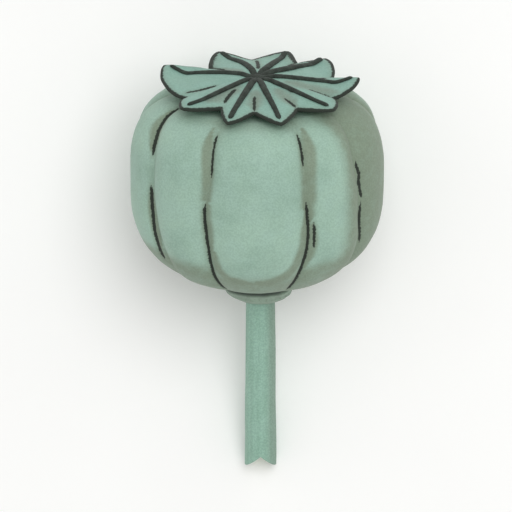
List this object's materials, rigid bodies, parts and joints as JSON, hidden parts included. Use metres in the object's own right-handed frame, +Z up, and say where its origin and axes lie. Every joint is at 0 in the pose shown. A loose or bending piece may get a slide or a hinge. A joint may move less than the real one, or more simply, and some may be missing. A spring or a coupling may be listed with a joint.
{
  "type": "poppy seed head",
  "caption": "Unripe poppy seed head: a ribbed round capsule capped by a lobed disc with raised stigma rays, on a short cut stem, lying on its side.",
  "frame": {"origin": "middle of the footprint of the head as it lies, on the surface it rests on", "axes": "+Y along the head from the cut stem to the crown, +Z up, +X to the right seen from above"},
  "size_m": [0.042, 0.0698, 0.0426],
  "materials": {
    "stem_skin": "smooth fresh green skin under a thin wax bloom",
    "receptacle_skin": "dull olive green skin, scarred where petals fell",
    "capsule_skin": "grey-green skin under a matt wax bloom, darker in the grooves",
    "disc_skin": "thin blue-green leathery skin with a wax bloom",
    "stigma_velvet": "dark olive velvet of tiny hairs"
  },
  "bodies": {
    "root": {"stem": "stem_skin", "receptacle": "receptacle_skin", "capsule": "capsule_skin", "stigma_disc": "disc_skin", "stigma_rays": "stigma_velvet"}
  },
  "joints": []
}
